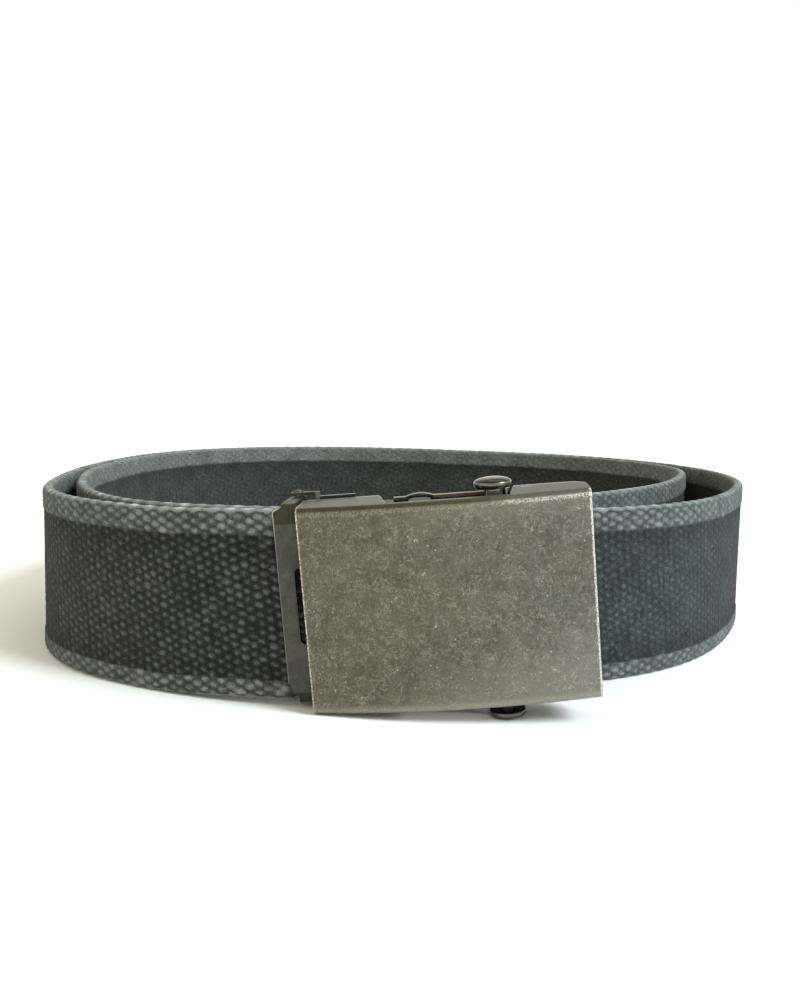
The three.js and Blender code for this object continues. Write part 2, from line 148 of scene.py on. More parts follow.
# How much the rope swells, how pale it is with its painted highlight, how deep its recess is and
# how much darker as painted shade, the painted shade beside the rim, and how far tones fade at
# random
ROPE_SWELL = 0.2
ROPE_TONE = 1.4
RECESS_DEPTH = 0.2
RECESS_DARKER = 0.9
BESIDE_DARKER = 0.3
FADE_TONES = 0.16

# How clearly the weave shows, as (bearing, share in the body, share in the rims): it is
# worn smooth at the bends
CLARITY = np.array([
    (6, 0.85, 1.0), (18, 0.8, 1.0), (28, 0.68, 0.95), (42, 0.46, 0.72), (60, 0.33, 0.45),
    (90, 0.35, 0.4), (180, 0.4, 0.5), (250, 0.35, 0.35), (290, 0.25, 0.3), (312, 0.25, 0.55),
    (335, 0.38, 1.0), (360, 0.5, 0.6), (460, 0.3, 0.4), (600, 0.4, 0.45), (700, 0.6, 0.6),
])
# The strap's inner face, where its outward direction is below a value: the weave shows
# less there and is darker
INWARD = -0.3
INNER_CLARITY = 0.5
INNER_DARKER = 0.2

# The buckle's place and turn, its own axes being x along the plate, y rearward, z up
BUCKLE_AT_MM = (5.97, -107.53, 22.55)
BUCKLE_YAW = math.radians(-3.05)
BUCKLE_LEAN = math.radians(1.64)
BUCKLE_ROLL = math.radians(-5.64)
BUCKLE = (
    Matrix.Translation(Vector(BUCKLE_AT_MM) * MM)
    @ Matrix.Rotation(BUCKLE_YAW, 4, "Z")
    @ Matrix.Rotation(BUCKLE_LEAN, 4, "X")
    @ Matrix.Rotation(BUCKLE_ROLL, 4, "Y")
)

# The buckle's pieces, in mm in its own axes
PLATE_LENGTH = 55.0
PLATE_HEIGHT = 40.0
PLATE_BOW = 134.0
SHEET = 0.9
BEND = 1.5
FLANGE_DEPTH = 14.6
LIP_DEPTH = 2.6
NOTCH_LEFT = (-12.8, -9.9)
NOTCH_RIGHT = (12.5, 13.9)
CORNER = 4.0
# How wide the plate's edges are painted pale: the ends, worn and with painted highlights, and the
# flange's rear edge, a painted glint
EDGE_WEAR_AND_GLINT = 0.45
FLANGE_GLINT = 1.6
GAP = 0.3
RAIL_SHEET = 0.8
UNDER_RAIL = PLATE_HEIGHT / 2 - SHEET - 2 * GAP - RAIL_SHEET
RIVET_AT = (16.2, 11.4)
RIVET_HEAD = 1.3
RIVET_SHANK = 0.8
RIVET_RISE = 0.6
HINGE_AT = (-28.6, 16.6)
HINGE_SHANK = 0.7
HINGE_HEAD = 1.3
TAB_TOP = 20.6
TAB_BOTTOM = 18.5
TAB_SHEET = 0.75
EYE_TOP = 21.5
EYE_BOTTOM = 19.4
ROLLER_AT = (9.6, 7.3)
ROLLER_TOP = 22.95
ROLLER_BOTTOM = -23.45
# The roller's heads as (radius, height above its bottom) and (radius, depth below its top)
LOWER_HEAD = [
    (0, 0), (2.2, 0.02), (3.1, 0.08), (3.4, 0.28), (3.5, 0.55), (3.5, 1.0), (3.36, 1.24),
    (2.9, 1.3),
]
UPPER_HEAD = [
    (2.6, 2.2), (3.05, 2.05), (3.4, 1.75), (3.57, 1.4), (3.6, 1.1), (3.48, 0.8),
    (3.1, 0.5), (2.4, 0.25), (1.4, 0.08), (0, 0),
]

# How the buckle's meshes are merged, flattened, eased and turned
MERGE_WITHIN = 0.002
FLAT_WITHIN = math.radians(0.6)
EASE_ABOVE = math.radians(38)
SHARP_ABOVE = math.radians(40)
PLATE_EASE = 0.16
CLIP_EASE = 0.14
RAIL_EASE = 0.1
PIN_SIDES = 40
ROLLER_SIDES = 72


def smooth(low, high, x):
    """A smooth step from 0 at low to 1 at high."""
    t = np.clip((x - low) / (high - low), 0, 1)
    return t * t * (3 - 2 * t)


def spline_through(x, y):
    """Natural cubic spline through points, as a function of an array."""
    span = np.diff(x)
    system = np.eye(len(x))
    right = np.zeros(len(x))
    for i in range(1, len(x) - 1):
        system[i, i - 1:i + 2] = span[i - 1], 2 * (span[i - 1] + span[i]), span[i]
        right[i] = 6 * ((y[i + 1] - y[i]) / span[i] - (y[i] - y[i - 1]) / span[i - 1])
    bend = np.linalg.solve(system, right)

    def at(t):
        i = np.clip(np.searchsorted(x, t) - 1, 0, len(x) - 2)
        a = (x[i + 1] - t) / span[i]
        b = (t - x[i]) / span[i]
        curve = (a ** 3 - a) * bend[i] + (b ** 3 - b) * bend[i + 1]
        return a * y[i] + b * y[i + 1] + curve * span[i] ** 2 / 6

    return at


# The strap's middle line, finely: bearing, place, outward direction and distance along
LINE_STEP = 0.1
bearings = np.arange(COIL_ROWS[0, 0], COIL_ROWS[-1, 0] + LINE_STEP / 2, LINE_STEP)
radii = spline_through(COIL_ROWS[:, 0], COIL_ROWS[:, 1])(bearings)
line_x = COIL_CENTRE[0] - radii * np.sin(np.radians(bearings))
line_y = COIL_CENTRE[1] - radii * np.cos(np.radians(bearings))
steps = np.hypot(np.diff(line_x), np.diff(line_y))
line_along = np.concatenate([[0], np.cumsum(steps)])
slope_x = np.gradient(line_x, line_along)
slope_y = np.gradient(line_y, line_along)


def along_at(bearing):
    return np.interp(bearing, bearings, line_along)


def strap_points(along, across, depth):
    """Points of the strap in metres: along its middle line, across it (up), and out of it."""
    x = np.interp(along, line_along, line_x)
    y = np.interp(along, line_along, line_y)
    out_x = -np.interp(along, line_along, slope_y)
    out_y = np.interp(along, line_along, slope_x)
    shoulder_start = np.where(across > 0, TONGUE_ABOVE, TONGUE_BELOW)
    shoulder = smooth(shoulder_start, shoulder_start + SHOULDER_LENGTH, along)
    free = smooth(TONGUE_ABOVE, HELD_REACH, along)
    width = TONGUE_WIDTH + (STRAP_WIDTH - TONGUE_WIDTH) * shoulder
    height = HELD_HEIGHT + (STRAP_WIDTH / 2 - HELD_HEIGHT) * free
    up = across * width / STRAP_WIDTH
    offset = depth + up * np.tan(BUCKLE_LEAN * (1 - free))
    return np.stack([x + out_x * offset, y + out_y * offset, height + up], -1) * MM


def new_mesh(name, points, quads, polygons=()):
    """A mesh from an (n, 3) array of points, an (m, 4) array of quads, and polygons."""
    mesh = bpy.data.meshes.new(name)
    mesh.vertices.add(len(points))
    mesh.vertices.foreach_set("co", np.ascontiguousarray(points, np.float32).ravel())
    corners = np.concatenate([quads.ravel(), *[np.array(p) for p in polygons]])
    sizes = np.concatenate([np.full(len(quads), 4), [len(p) for p in polygons]])
    starts = np.concatenate([[0], np.cumsum(sizes)[:-1]])
    mesh.loops.add(len(corners))
    mesh.loops.foreach_set("vertex_index", corners.astype(np.int32))
    mesh.polygons.add(len(sizes))
    mesh.polygons.foreach_set("loop_start", starts.astype(np.int32))
    mesh.update(calc_edges=True)
    mesh.validate()
    return mesh


def tube(rings, around):
    """Indices of a tube's points, ring by ring, and its quads."""
    index = np.arange(rings * around).reshape(rings, around)
    beside = np.roll(index, -1, 1)
    quads = np.stack([index[:-1], beside[:-1], beside[1:], index[1:]], -1)
    return index, quads.reshape(-1, 4)


def in_scene(name, data):
    made = bpy.data.objects.new(name, data)
    scene.collection.objects.link(made)
    return made


def new_piece(name, mesh, material, body, node, place=None):
    """Adds a piece of the belt, in its place, riding a body and standing for a node."""
    piece = in_scene(name, mesh)
    mesh.materials.clear()
    mesh.materials.append(material)
    if place is not None:
        piece.matrix_world = place
    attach(piece, body)
    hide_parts(node)
    return piece


class Nodes:
    """Nodes of a material or world, built from short calls."""

    def __init__(self, tree):
        self.tree = tree

    def new(self, kind, **settings):
        made = self.tree.nodes.new(kind)
        for key, value in settings.items():
            setattr(made, key, value)
        return made

    def put(self, value, socket):
        """Links an output to a socket, or sets the socket to a value."""
        if isinstance(value, bpy.types.NodeSocket):
            self.tree.links.new(value, socket)
        else:
            socket.default_value = value

    def fill(self, node, **values):
        """Sets or links a node's sockets by name, with _ for a space."""
        for socket, value in values.items():
            self.put(value, node.inputs[socket.replace("_", " ")])

    def vector(self, operation, first, socket, second):
        made = self.new("ShaderNodeVectorMath", operation=operation)
        self.put(first, made.inputs[0])
        self.put(second, made.inputs[socket])
        return made.outputs[0]

    def math(self, operation, first, second=0.0, clamp=False):
        made = self.new("ShaderNodeMath", operation=operation, use_clamp=clamp)
        self.put(first, made.inputs[0])
        self.put(second, made.inputs[1])
        return made.outputs[0]

    def plus(self, first, second, clamp=False):
        return self.math("ADD", first, second, clamp)

    def minus(self, first, second):
        return self.math("SUBTRACT", first, second)

    def times(self, *values):
        return reduce(lambda a, b: self.math("MULTIPLY", a, b), values)

    def most(self, *values):
        return reduce(lambda a, b: self.math("MAXIMUM", a, b), values)

    def unsigned(self, value):
        return self.math("ABSOLUTE", value)

    def step(self, value, low, high, start=0.0, end=1.0):
        """A smooth step of a value from start at low to end at high."""
        made = self.new("ShaderNodeMapRange", interpolation_type="SMOOTHSTEP")
        for socket, number in zip(made.inputs[:5], (value, low, high, start, end)):
            self.put(number, socket)
        return made.outputs[0]

    def fall(self, value, low, high):
        """A smooth step from 1 at low to 0 at high."""
        return self.step(value, low, high, 1.0, 0.0)

    def between(self, value, low, high, soft):
        """1 between two values, 0 beyond them, with soft steps."""
        return self.times(self.step(value, low - soft, low + soft),
                          self.fall(value, high - soft, high + soft))

    def from_one(self, share, end):
        """A number that runs from 1 to an end value as a share runs from 0 to 1."""
        return self.plus(1.0, self.times(share, self.minus(end, 1.0)))

    def mix(self, share, first, second, blend="MIX"):
        """Mixes two colours; a share of 1 is all of the second."""
        made = self.new("ShaderNodeMix", data_type="RGBA", blend_type=blend)
        self.put(share, made.inputs[0])
        for colour, socket in ((first, made.inputs[6]), (second, made.inputs[7])):
            self.put(colour if not isinstance(colour, tuple) else (*colour, 1), socket)
        return made.outputs[2]

    def layers(self, colour, *rows):
        """Lays colours over a first one; a row is a share, a colour and maybe a blend."""
        for share, *over in rows:
            colour = self.mix(share, colour, *over)
        return colour

    def part(self, vector, letter):
        made = self.new("ShaderNodeSeparateXYZ")
        self.put(vector, made.inputs[0])
        return made.outputs[letter]


class Shade(Nodes):
    """A material with one Principled shader. Its patterns are in mm."""

    def __init__(self, name, **constants):
        self.material = bpy.data.materials.new(name)
        self.material.use_nodes = True
        super().__init__(self.material.node_tree)
        self.tree.nodes.clear()
        self.shader = self.new("ShaderNodeBsdfPrincipled")
        output = self.new("ShaderNodeOutputMaterial")
        self.put(self.shader.outputs[0], output.inputs["Surface"])
        self.fill(self.shader, **constants)
        coordinates = self.new("ShaderNodeTexCoord")
        self.place = self.vector("SCALE", coordinates.outputs["Object"], "Scale", 1 / MM)

    def axis(self, letter):
        """The x, y or z of a point in the piece's own axes, in mm."""
        return self.part(self.place, letter)

    def noise(self, scale, detail=2.0, stretch=None, turn=None, distortion=0.0, shift=0.0):
        """Noise with its features about 1/scale mm wide, stretched along a turned axis."""
        place = self.place
        if stretch or turn or shift:
            mapping = self.new("ShaderNodeMapping", vector_type="TEXTURE")
            self.fill(
                mapping, Vector=place, Location=(shift, shift, shift),
                Rotation=turn or (0, 0, 0), Scale=stretch or (1, 1, 1))
            place = mapping.outputs[0]
        made = self.new("ShaderNodeTexNoise")
        self.fill(made, Vector=place, Scale=scale, Detail=detail, Distortion=distortion)
        return made.outputs["Fac"]

    def attribute(self, name):
        return self.new("ShaderNodeAttribute", attribute_name=name).outputs["Fac"]

    def bump(self, height, distance, strength):
        made = self.new("ShaderNodeBump")
        self.fill(made, Height=height, Distance=distance * MM, Strength=strength)
        return made.outputs[0]

    def finish(self, **sockets):
        self.fill(self.shader, **sockets)
        return self.material


# Materials


def worms(shade, scale, width, shift, there):
    """Thin winding pale strokes: where a noise is near its middle, broken up by another."""
    field = shade.noise(scale, shift=shift, distortion=0.6)
    off = shade.unsigned(shade.minus(field, 0.5))
    line = shade.fall(off, width * 0.2, width)
    breaks = shade.step(shade.noise(scale * 1.1, detail=1.0, shift=shift + 31.0), *there)
    return shade.times(line, breaks)


def hairs(shade, angle, scale, shift):
    """Short straight scratches: noise stretched along one direction in the plate."""
    stretch = (1, 1, HAIR_LENGTH)
    field = shade.noise(scale, detail=0.0, stretch=stretch, turn=(0, angle, 0), shift=shift)
    return shade.step(field, 0.7, 0.82)


def specks(shade, scale, size, share, shift):
    """Small dots: the middles of a share of the cells of a Voronoi pattern."""
    moved = shade.vector("ADD", shade.place, 1, (shift, shift * 0.7, -shift))
    cells = shade.new("ShaderNodeTexVoronoi")
    shade.fill(cells, Vector=moved, Scale=scale)
    dot = shade.fall(cells.outputs["Distance"], size * 0.4, size)
    parts = shade.new("ShaderNodeSeparateColor")
    shade.put(cells.outputs["Color"], parts.inputs[0])
    chosen = shade.math("GREATER_THAN", parts.outputs[0], 1 - share)
    return shade.times(dot, chosen)


# The plate's colours, and the two tints of painted light that multiply them
NICKEL = SimpleNamespace(
    dark=(0.071, 0.067, 0.052),
    mid=(0.108, 0.103, 0.085),
    pale=(0.136, 0.13, 0.108),
    rust=(0.155, 0.117, 0.083),
    # painted light
    painted_light=(0.185, 0.175, 0.146),
    painted_warm_light=(0.9, 0.85, 0.7),
    painted_cool_light=(0.99, 1.02, 1.08),
    # a painted dark reflection on the bend, paler on the right, and a darker line of it
    left_bend_reflection=(0.056, 0.049, 0.026),
    right_bend_reflection=(0.1, 0.095, 0.07),
    dark_reflection_line=(0.02, 0.02, 0.01),
    pit=(0.02, 0.018, 0.012),
    scratch=(0.5, 0.465, 0.385),
    # pale wear on the edges and under the bend, brightened as a painted highlight
    wear_and_glint=(0.62, 0.61, 0.57),
    copper=(0.5, 0.34, 0.26),
    flange_dark=(0.104, 0.101, 0.097),
    flange_pale=(0.126, 0.123, 0.118),
    flange_right=(0.075, 0.075, 0.067),
)
# Each kind of stroke: scale, width, shift, and where the breaking noise lets it show
STROKES = [
    (1.15, 0.05, 3.0, (0.52, 0.66)),
    (1.6, 0.055, 17.0, (0.54, 0.66)),
    (0.8, 0.03, 26.0, (0.54, 0.66)),
]
CRACKLE = (2.3, 0.045, 47.0, (0.42, 0.6))
CRACKLE_SHARE = 0.6
HAIR_ANGLES = (0.2, 0.9, 1.5, 2.1, 2.7)
HAIR_LENGTH = 6.0
HAIR_SHARE = 0.75
CLUSTER_GAIN = 2.3
RAGGED_MM = 0.8
UNEVEN_MM = 5.0


def plate_fields(shade):
    """What the plate's patterns share: noises, places in mm, and masks from 0 to 1."""
    grain = shade.noise(3.6, detail=3.0, distortion=0.4)
    patches = shade.noise(0.3, detail=4.0, distortion=0.5)
    x, z = shade.axis("X"), shade.axis("Z")
    far = shade.unsigned(z)
    ragged = shade.times(shade.minus(grain, 0.5), RAGGED_MM)
    uneven = shade.times(shade.minus(patches, 0.5), UNEVEN_MM)
    flange = shade.step(far, 19.88, 19.97)
    return SimpleNamespace(
        grain=grain, patches=patches, x=x, z=z, far=far, uneven=uneven, flange=flange,
        blots=shade.noise(1.3, detail=3.0, distortion=0.5, shift=4.0),
        brown=shade.noise(0.11, detail=3.0, shift=21.0),
        ragged_x=shade.plus(x, ragged),
        level=shade.plus(z, ragged),
        face=shade.minus(1.0, flange),
        right=shade.step(shade.plus(x, uneven), 6.0, 13.0),
    )


def plate_ground(shade, plate):
    """The colour under the marks: mottled, with painted light below its upper bend and low on its
    right, tinted by painted warm light on the left and painted cool light on the right, and with
    a painted dark reflection on the bend and in a line where it meets the flange."""
    # Painted light: a paler glow below the upper bend, stronger towards the right, and low on the
    # right
    slope = shade.plus(shade.minus(shade.times(plate.x, 0.35), plate.z), plate.uneven)
    upper = shade.times(
        shade.step(plate.level, 12.0, 18.6, 0.0, 0.4), shade.step(plate.x, -18.0, 4.0))
    painted_light = shade.most(upper, shade.step(slope, 8.0, 24.0, 0.0, 0.75))
    # Painted dark reflection on the bend, and a darker line of it where the bend meets the flange
    bend = shade.mix(plate.right, NICKEL.left_bend_reflection, NICKEL.right_bend_reflection)
    dark_reflection_line = shade.times(shade.step(plate.far, 19.8, 19.86), shade.fall(plate.far, 19.9, 19.96))
    return shade.layers(
        NICKEL.dark,
        (shade.step(plate.patches, 0.36, 0.62, 0.1, 0.9), NICKEL.mid),
        (shade.step(plate.blots, 0.42, 0.66, 0.0, 0.8), NICKEL.pale),
        (shade.step(plate.grain, 0.5, 0.3, 0.0, 0.75), NICKEL.dark),
        (shade.times(shade.step(plate.brown, 0.45, 0.65), 0.16), NICKEL.rust),
        (painted_light, NICKEL.painted_light),
        # painted warm light on the left and painted cool light on the right
        (shade.step(plate.x, 6.0, -18.0, 0.0, 0.5), NICKEL.painted_warm_light, "MULTIPLY"),
        (shade.step(plate.x, 2.0, 20.0), NICKEL.painted_cool_light, "MULTIPLY"),
        (shade.step(plate.level, 18.9, 19.5, 0.0, 0.85), bend),
        (shade.times(dark_reflection_line, 0.6), NICKEL.dark_reflection_line))


def plate_scratches(shade, plate):
    """Pale strokes and hairlines that gather in clouds and a few bright clusters, more
    of them low on the right, and hardly any on the bend."""
    marks = shade.most(*[worms(shade, *row) for row in STROKES])
    for number, angle in enumerate(HAIR_ANGLES):
        more = hairs(shade, angle, 3.6 + 0.5 * (number % 3), 5.0 + 6.3 * number)
        marks = shade.most(marks, shade.times(more, HAIR_SHARE))
    marks = shade.most(marks, shade.times(worms(shade, *CRACKLE), CRACKLE_SHARE))
    gather = shade.noise(0.45, shift=13.0)
    low_right = shade.times(shade.step(plate.level, -10.0, -17.0, 0.0, 0.09), plate.right)
    cluster = shade.plus(shade.noise(0.75, shift=63.0), low_right)
    return shade.times(
        marks,
        shade.step(gather, 0.36, 0.66, 0.08, 0.34),
        shade.from_one(shade.step(cluster, 0.6, 0.7), CLUSTER_GAIN),
        shade.step(plate.level, 19.2, 19.4, 1.0, 0.2))


def aged_nickel():
    """The plate: tumbled grey nickel with a brown cast and pale scratches, its edges worn pale
    and painted with highlights, and painted light and dark reflections on its face and bend.
    """
    shade = Shade("aged_nickel", Metallic=0.85)
    plate = plate_fields(shade)
    colour = plate_ground(shade, plate)

    # Pale wear under the bend, speckled on the left and near white on the right, which is also a
    # painted highlight band; the glints are painted highlights
    worn_left = shade.times(
        shade.step(plate.level, 18.1, 18.6), shade.step(plate.grain, 0.42, 0.66), 0.35)
    worn_right = shade.times(
        shade.step(plate.level, 18.35, 18.7), plate.right,
        shade.step(plate.grain, 0.4, 0.56, 0.05, 0.66))
    under_bend = shade.times(
        shade.most(worn_left, worn_right), shade.fall(plate.level, 19.15, 19.4))
    low_edge = shade.times(
        shade.step(plate.level, -17.6, -19.3), 0.42, shade.step(plate.grain, 0.35, 0.6, 0.4, 1.0))
    dots = specks(shade, 0.8, 0.13, 0.1, 3.0)
    fine_dots = shade.times(specks(shade, 2.2, 0.26, 0.12, 11.0), 0.4)
    glints = shade.times(
        shade.between(plate.level, 18.2, 18.7, 0.1), specks(shade, 1.7, 0.24, 0.22, 19.0))
    scratches = plate_scratches(shade, plate)
    marks = shade.most(scratches, under_bend, low_edge, dots, fine_dots, glints)
    marks = shade.times(marks, plate.face)
    pits = shade.times(specks(shade, 1.5, 0.22, 0.22, 23.0), plate.face)
    colour = shade.mix(shade.times(pits, 0.8), colour, NICKEL.pit)

    # The edges: pale wear with painted highlights at the ends, and a painted glint along the
    # flange's rear edge
    edge = shade.step(shade.attribute("edge"), 0.1, 0.6, 0.0, 0.9)
    least = shade.plus(0.1, shade.times(plate.flange, 0.3))
    edge = shade.times(edge, shade.step(plate.grain, 0.38, 0.58, least, 1.0))
    right_end = shade.times(
        shade.step(plate.ragged_x, 27.05, 27.2), shade.step(plate.grain, 0.36, 0.56, 0.25, 1.0))
    edge = shade.most(edge, shade.times(right_end, plate.face))
    marks = shade.most(marks, edge)
    whiter = shade.most(shade.step(edge, 0.1, 0.3), shade.times(plate.right, worn_right))
    bright = shade.mix(whiter, NICKEL.scratch, NICKEL.wear_and_glint)
    left_end = shade.step(plate.x, -27.3, -27.0, 0.6, 0.0)
    copper = shade.times(left_end, shade.step(plate.brown, 0.4, 0.6))
    colour = shade.mix(marks, colour, shade.mix(copper, bright, NICKEL.copper))

    clean = shade.mix(
        shade.step(plate.patches, 0.3, 0.7), NICKEL.flange_dark, NICKEL.flange_pale)
    clean = shade.mix(shade.step(plate.x, 12.0, 18.0, 0.0, 0.7), clean, NICKEL.flange_right)
    colour = shade.mix(shade.times(plate.flange, shade.minus(1.0, edge)), colour, clean)
    rough = shade.minus(shade.plus(0.34, shade.times(plate.grain, 0.3)), shade.times(marks, 0.1))
    height = shade.times(shade.plus(plate.grain, plate.blots), shade.plus(0.2, plate.face))
    return shade.finish(Base_Color=colour, Roughness=rough, Normal=shade.bump(height, 0.02, 0.6))


def smooth_metal(name, dark, light, roughness, scale=0.5, speck_share=0.06, **constants):
    """A smoother plated metal: soft mottling, a few small specks and fine hairlines."""
    shade = Shade(name, **{"Metallic": 0.85, **constants})
    mottle = shade.noise(scale, detail=4.0, distortion=0.3)
    grain = shade.noise(4.0)
    lines = shade.noise(3.0, stretch=(1, 1, 9), turn=(0.3, 0.5, 0))
    spots = specks(shade, 1.6, 0.22, speck_share, 5.0)
    colour = shade.mix(shade.step(mottle, 0.36, 0.66), dark, light)
    pale = tuple(min(1.0, channel * 2.6) for channel in light)
    worn = shade.most(shade.times(spots, 0.4), shade.step(lines, 0.62, 0.8, 0.0, 0.2))
    colour = shade.mix(worn, colour, pale)
    rough = shade.plus(roughness, shade.times(mottle, 0.16))
    height = shade.plus(shade.times(grain, 0.5), mottle)
    shade.finish(Base_Color=colour, Roughness=rough, Normal=shade.bump(height, 0.03, 0.35))
    return shade, colour


def copper_rail():
    """Dark steel strip with copper showing along the middle of its pad. The upward tops of the
    pad and rib get a pale line, partly wear and partly painted light, and a post and the curl's
    core get painted highlights; their lower parts and the curl's surround are painted very dark
    as shade."""
    shade, steel = smooth_metal(
        "copper_rail", (0.022, 0.023, 0.018), (0.045, 0.046, 0.037), 0.42,
        Metallic=0.25, Specular_IOR_Level=0.25)
    x, y, z = (shade.axis(letter) for letter in "XYZ")
    far = shade.unsigned(z)
    wave = shade.plus(x, shade.times(shade.noise(0.9), 1.5))
    copper = shade.most(
        shade.between(wave, -1.2, 8.5, 0.7), shade.between(x, -10.2, -8.4, 0.15))
    tint = shade.mix(shade.noise(0.8, detail=3.0), (0.03, 0.02, 0.014), (0.13, 0.078, 0.05))
    # Painted shade: the feet of the pad and rib, the hump's hollow and the curl's surround are
    # painted very dark
    pad_foot = shade.times(shade.fall(far, 19.2, 19.45), shade.fall(y, 12.0, 12.5))
    in_hump = shade.times(shade.between(x, -7.0, -1.8, 0.15), shade.fall(far, 19.95, 20.1))
    rib_foot = shade.times(shade.fall(far, 20.3, 20.45), shade.step(y, 14.5, 14.8))
    painted_shade = shade.times(shade.most(pad_foot, in_hump, rib_foot), 0.92)
    curl = shade.times(shade.step(x, 11.45, 11.55), shade.fall(y, 11.6, 11.7))
    # Painted light: the upward tops are paler, partly wear; the post and the curl's core get
    # painted highlights
    upward = shade.part(shade.new("ShaderNodeNewGeometry").outputs["Normal"], "Z")
    top = shade.times(
        shade.step(upward, 0.35, 0.9), shade.step(far, 19.5, 19.7),
        shade.step(x, -24.6, -24.2, 0.07, 0.75))
    post = shade.times(shade.between(x, -25.1, -24.25, 0.08), 0.3)
    curl_core = shade.times(curl, shade.between(x, 12.0, 12.4, 0.1))
    return shade.finish(Base_Color=shade.layers(
        steel, (copper, tint), (painted_shade, (0.002, 0.002, 0.0015)), (curl, (0.004, 0.004, 0.003)),
        (shade.most(top, post, curl_core), (0.3, 0.295, 0.27))))


def roller_bronze():
    """Dark glossy bronze: the heads' rims are painted bright, partly wear and partly a painted
    highlight, and the necks are painted a dull light grey as painted light that lifts their
    shade.
    """
    shade, bronze = smooth_metal(
        "roller_bronze", (0.016, 0.014, 0.009), (0.05, 0.047, 0.036), 0.07,
        scale=0.35, speck_share=0.12)
    squares = [shade.math("POWER", shade.minus(shade.axis(letter), middle), 2.0)
               for letter, middle in zip("XY", ROLLER_AT)]
    radius = shade.math("SQRT", shade.plus(*squares))
    z = shade.unsigned(shade.axis("Z"))
    # The rims: pale wear and a painted highlight
    rim = shade.times(shade.step(radius, 3.4, 3.55, 0.0, 0.3), shade.step(z, 20.4, 20.7))
    # The necks: painted light, lifting them out of their shade
    neck = shade.times(
        shade.between(z, 18.2, 20.7, 0.1), shade.step(radius, 1.8, 1.9, 0.85, 0.0))
    return shade.finish(Base_Color=shade.layers(
        bronze, (rim, (0.4, 0.39, 0.33)), (neck, (0.3, 0.3, 0.27))))


def clip_steel():
    """Dark smooth steel, browner on the tabs that run back to the hinge, grey on their tops, and
    with a pale painted highlight along the left edge, most at the upper corner."""
    shade, steel = smooth_metal("clip_steel", (0.054, 0.053, 0.043), (0.078, 0.077, 0.064), 0.38)
    x, z = shade.axis("X"), shade.axis("Z")
    tab = shade.step(shade.unsigned(z), 16.5, 16.8, 0.0, 0.85)
    on_top = shade.step(z, TAB_TOP - 0.2, TAB_TOP - 0.1)
    # A painted highlight along the left edge, brightest at the upper corner
    corner = shade.minus(x, shade.step(z, 19.0, 20.0, 0.0, 1.4))
    worn = shade.times(shade.fall(corner, -32.42, -32.3), shade.step(z, 12.0, 18.0, 0.25, 1.0))
    return shade.finish(Base_Color=shade.layers(
        steel, (tab, (0.034, 0.03, 0.019)), (on_top, (0.062, 0.067, 0.058)),
        (worn, (0.42, 0.38, 0.32))))


def cotton_web():
    """Faded charcoal cotton: dark between the yarns and pale on the worn tops, partly fading and
    partly painted shade and light, fine fibres, a crest painted with light from above, and
    painted cool light at the front right."""
    shade = Shade("cotton_web", Roughness=0.95, Sheen_Weight=0.03, Sheen_Roughness=0.6,
                  Specular_IOR_Level=0.08)
    band = shade.attribute("band")
    fibres = shade.noise(5.0, detail=3.0, distortion=0.8)
    strands = shade.noise(1.9, detail=4.0, distortion=1.2, shift=8.0)
    frays = shade.noise(2.6, distortion=2.0, shift=15.0)
    patch = shade.noise(0.07, detail=3.0)
    rim = shade.step(band, 0.0, 1.0)
    crest = shade.step(band, 1.0, 2.0)
    # Dark between the yarns and pale on their tops: partly the cotton's own fading, partly
    # painted shade and painted light
    low = shade.mix(rim, (0.0035, 0.0042, 0.0036), (0.024, 0.026, 0.023))
    # the crest's colours: faded, and painted light from above
    low = shade.mix(crest, low, (0.09, 0.095, 0.09))
    high = shade.mix(rim, (0.094, 0.098, 0.094), (0.182, 0.193, 0.186))
    high = shade.mix(crest, high, (0.52, 0.55, 0.54))
    frayed = shade.plus(0.8, shade.times(shade.step(frays, 0.45, 0.62), 0.45))
    share = shade.times(
        shade.attribute("tone"),
        shade.step(fibres, 0.25, 0.72, 0.45, 1.6),
        shade.step(strands, 0.3, 0.7, 0.6, 1.4),
        shade.from_one(rim, frayed),
        shade.step(patch, 0.3, 0.7, 0.9, 1.1))
    haze = shade.step(strands, 0.35, 0.75, 0.0, 0.1)
    colour = shade.mix(shade.plus(share, haze, clamp=True), low, high)
    # Painted cool light at the front right
    front_right = shade.times(
        shade.step(shade.axis("X"), 0.0, 40.0), shade.step(shade.axis("Y"), -10.0, -40.0))
    tint = shade.mix(rim, (0.94, 1.1, 1.17), (0.97, 1.03, 1.06))
    colour = shade.mix(front_right, colour, tint, "MULTIPLY")
    height = shade.plus(fibres, strands)
    return shade.finish(Base_Color=colour, Normal=shade.bump(height, 0.14, 0.6))


# Webbing


def rows_of(limit, step):
    """Evenly spaced values from -limit to limit through 0."""
    count = int(limit / step + 1e-6)
    return np.arange(-count, count + 1) * step


def side_rows(body_step, rim_step):
    """Heights across one side, from the lower edge up, at their own steps in the rims."""
    flat = STRAP_WIDTH / 2 - EDGE_REACH
    rim_start = STRAP_WIDTH / 2 - RIM_BAND
    body = rows_of(rim_start - BODY_SHORT, body_step)
    rim = np.arange(rim_start + RIM_SHORT, flat - RIM_SHORT, rim_step)
    return np.concatenate([-rim[::-1], body, rim])


def into_rim(across):
    """Distance from the middle, as if the lower rim were as wide as the upper one."""
    return np.where(across < 0, -across - LOW_RIM_LESS, across)


